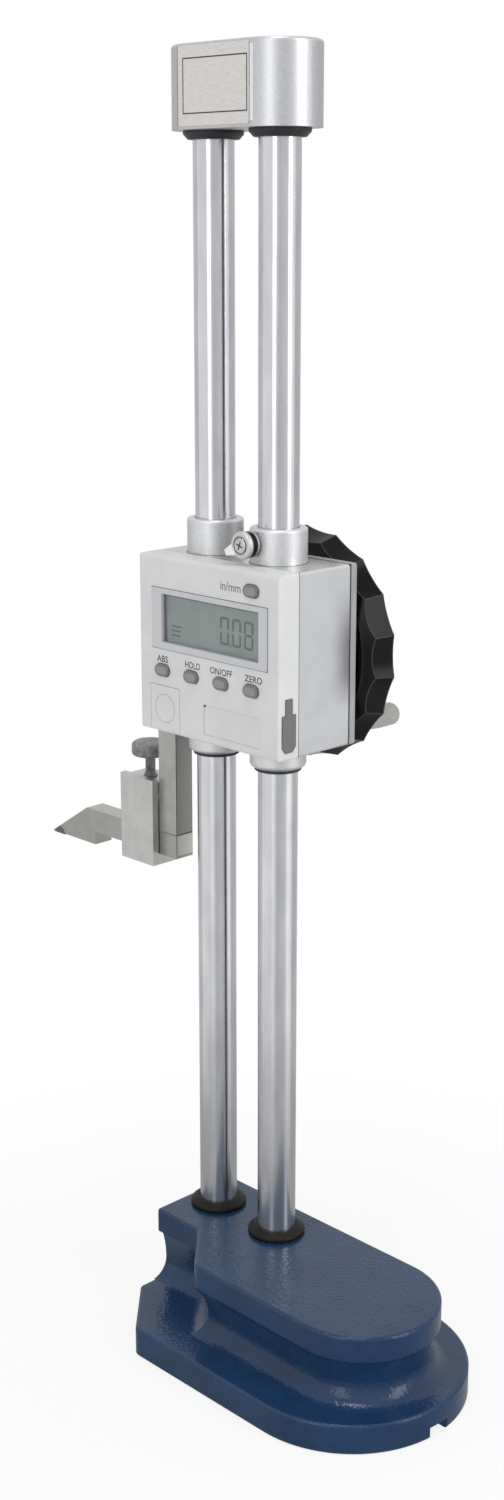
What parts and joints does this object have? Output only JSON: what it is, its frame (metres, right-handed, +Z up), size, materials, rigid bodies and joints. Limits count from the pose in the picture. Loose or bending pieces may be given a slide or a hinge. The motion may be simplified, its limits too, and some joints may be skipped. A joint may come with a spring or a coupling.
{
  "type": "digital height gauge",
  "caption": "Twin-column digital height gauge: heavy cast base, ground columns, sliding read-out head with rack drive handwheel, clamp lever, and clamped carbide scriber.",
  "frame": {"origin": "on the surface plate under the base, midway between the two column axes", "axes": "+Z up along the columns; +X along the column line towards the rounded end of the base, so the scriber points to -X; the display faces -Y and the handwheel is on the +Y side"},
  "size_m": [0.2257, 0.1122, 0.4886],
  "materials": {
    "base_enamel": "dark blue gloss enamel with a light orange peel",
    "column_chrome": "hard chromed, ground and polished",
    "rack_steel": "milled steel, oiled",
    "ring_rubber": "black nitrile rubber, matte",
    "base_ring_rubber": "black-brown rubber, matte",
    "satin_silver": "satin silver, fine turned finish",
    "label_metal": "fine brushed plate with a printed border",
    "case_grey": "light grey paint on a light-alloy casting",
    "cover_grey": "light grey, fine texture",
    "plate_grey": "light grey paint",
    "display_silver": "silver-grey, satin",
    "window_clear": "clear pane",
    "lcd_grey": "grey-green liquid crystal",
    "board_green": "solder resist",
    "button_grey": "mid grey, satin",
    "mat_rubber": "silicone rubber",
    "plug_rubber": "grey rubber",
    "black_plastic": "glossy black",
    "knob_white": "off-white, satin",
    "ground_steel": "ground tool steel",
    "bright_steel": "polished steel",
    "dark_steel": "blackened steel",
    "knurl_steel": "knurled steel",
    "carbide": "sintered carbide, ground",
    "bearing_bronze": "sintered bronze",
    "lining_polymer": "filled sliding polymer",
    "cast_silver": "satin cast silver with a bright edge",
    "encoder_plastic": "clear-coded disc",
    "cell_steel": "bright can"
  },
  "bodies": {
    "stand": {"base_casting": "base_enamel", "plain_column": "column_chrome", "rack_column": "column_chrome", "rack_strip": "rack_steel", "left_base_ring": "base_ring_rubber", "right_base_ring": "base_ring_rubber", "column_bolts": "dark_steel", "top_cap": "satin_silver", "cap_label_plate": "label_metal", "left_cap_ring": "ring_rubber", "right_cap_ring": "ring_rubber", "cap_grub_screws": "dark_steel"},
    "carriage": {"carriage_body": "case_grey", "front_cover": "cover_grey", "back_plate": "plate_grey", "case_screws": "bright_steel", "left_top_bush": "satin_silver", "right_top_bush": "satin_silver", "left_bottom_bush": "satin_silver", "right_bottom_bush": "satin_silver", "guide_linings": "lining_polymer", "left_wiper_ring": "ring_rubber", "right_wiper_ring": "ring_rubber", "display_frame": "display_silver", "display_window": "window_clear", "lcd_module": "lcd_grey", "circuit_board": "board_green", "button_mat": "mat_rubber", "encoder_reader": "black_plastic", "battery_cell": "cell_steel", "battery_spring": "bearing_bronze", "port_socket": "black_plastic", "front_shaft_bearing": "bearing_bronze", "rear_shaft_bearing": "bearing_bronze", "clamp_washer": "black_plastic", "thrust_washer": "bright_steel", "measuring_jaw": "ground_steel", "jaw_screws": "dark_steel"},
    "battery_cover": {"battery_cover": "cover_grey"},
    "port_plug": {"port_plug": "plug_rubber"},
    "power_button": {"power_button": "button_grey"},
    "zero_button": {"zero_button": "button_grey"},
    "hold_button": {"hold_button": "button_grey"},
    "abs_button": {"abs_button": "button_grey"},
    "units_button": {"units_button": "button_grey"},
    "handwheel": {"drive_shaft": "bright_steel", "drive_pinion": "rack_steel", "handwheel": "black_plastic", "wheel_screw": "bright_steel", "knob_pin": "bright_steel"},
    "crank_knob": {"crank_knob": "knob_white"},
    "encoder": {"encoder_shaft": "bright_steel", "encoder_disc": "encoder_plastic"},
    "clamp_lever": {"clamp_lever": "cast_silver", "clamp_screw": "bright_steel"},
    "clamp_shoe": {"clamp_shoe": "rack_steel"},
    "scriber_clamp": {"scriber_clamp": "ground_steel"},
    "scriber_screw": {"scriber_screw": "knurl_steel"},
    "scriber": {"scriber": "ground_steel", "carbide_tip": "carbide"}
  },
  "joints": [
    {"name": "carriage_slide", "type": "slide", "parent": "stand", "child": "carriage", "axis": [0, 0, 1], "range_m": [-0.179, 0.134]},
    {"name": "handwheel_turn", "type": "hinge", "parent": "carriage", "child": "handwheel", "pos_m": [0.00165, 0, 0.2733], "axis": [0, 1, 0], "range_deg": [-1170, 876]},
    {"name": "knob_spin", "type": "hinge", "parent": "handwheel", "child": "crank_knob", "pos_m": [0.02518, 0.031, 0.24526], "axis": [0, 1, 0], "continuous": true},
    {"name": "encoder_turn", "type": "hinge", "parent": "carriage", "child": "encoder", "pos_m": [0.00325, 0, 0.29341], "axis": [0, 1, 0], "range_deg": [-1430, 1070]},
    {"name": "clamp_lever_turn", "type": "hinge", "parent": "carriage", "child": "clamp_lever", "pos_m": [0.01375, 0, 0.3171], "axis": [0, 1, 0], "range_deg": [0, 110]},
    {"name": "clamp_shoe_slide", "type": "slide", "parent": "carriage", "child": "clamp_shoe", "axis": [0, 1, 0], "range_m": [0, 0.000244]},
    {"name": "scriber_screw_turn", "type": "hinge", "parent": "carriage", "child": "scriber_screw", "pos_m": [-0.05475, -0.0007, 0.203], "axis": [0, 0, 1], "range_deg": [0, 540]},
    {"name": "scriber_clamp_drop", "type": "slide", "parent": "carriage", "child": "scriber_clamp", "axis": [0, 0, -1], "range_m": [0, 0.00105]},
    {"name": "scriber_slide", "type": "slide", "parent": "carriage", "child": "scriber", "axis": [-1, 0, 0], "range_m": [-0.0045, 0.01]},
    {"name": "battery_cover_slide", "type": "slide", "parent": "carriage", "child": "battery_cover", "axis": [0, 0, -1], "range_m": [0, 0.018]},
    {"name": "port_plug_pull", "type": "slide", "parent": "carriage", "child": "port_plug", "axis": [1, 0, 0], "range_m": [0, 0.006]},
    {"name": "power_button_press", "type": "slide", "parent": "carriage", "child": "power_button", "axis": [0, 1, 0], "range_m": [0, 0.0008], "stiffness_N_per_m": 800},
    {"name": "zero_button_press", "type": "slide", "parent": "carriage", "child": "zero_button", "axis": [0, 1, 0], "range_m": [0, 0.0008], "stiffness_N_per_m": 800},
    {"name": "hold_button_press", "type": "slide", "parent": "carriage", "child": "hold_button", "axis": [0, 1, 0], "range_m": [0, 0.0008], "stiffness_N_per_m": 800},
    {"name": "abs_button_press", "type": "slide", "parent": "carriage", "child": "abs_button", "axis": [0, 1, 0], "range_m": [0, 0.0008], "stiffness_N_per_m": 800},
    {"name": "units_button_press", "type": "slide", "parent": "carriage", "child": "units_button", "axis": [0, 1, 0], "range_m": [0, 0.0008], "stiffness_N_per_m": 800}
  ],
  "couplings": [
    {"joint": "handwheel_turn", "follows": "carriage_slide", "rad_per_m": 113.64},
    {"joint": "encoder_turn", "follows": "carriage_slide", "rad_per_m": 138.89},
    {"joint": "clamp_lever_turn", "follows": "clamp_shoe_slide", "rad_per_m": 7854},
    {"joint": "scriber_screw_turn", "follows": "scriber_clamp_drop", "rad_per_m": 8976}
  ]
}
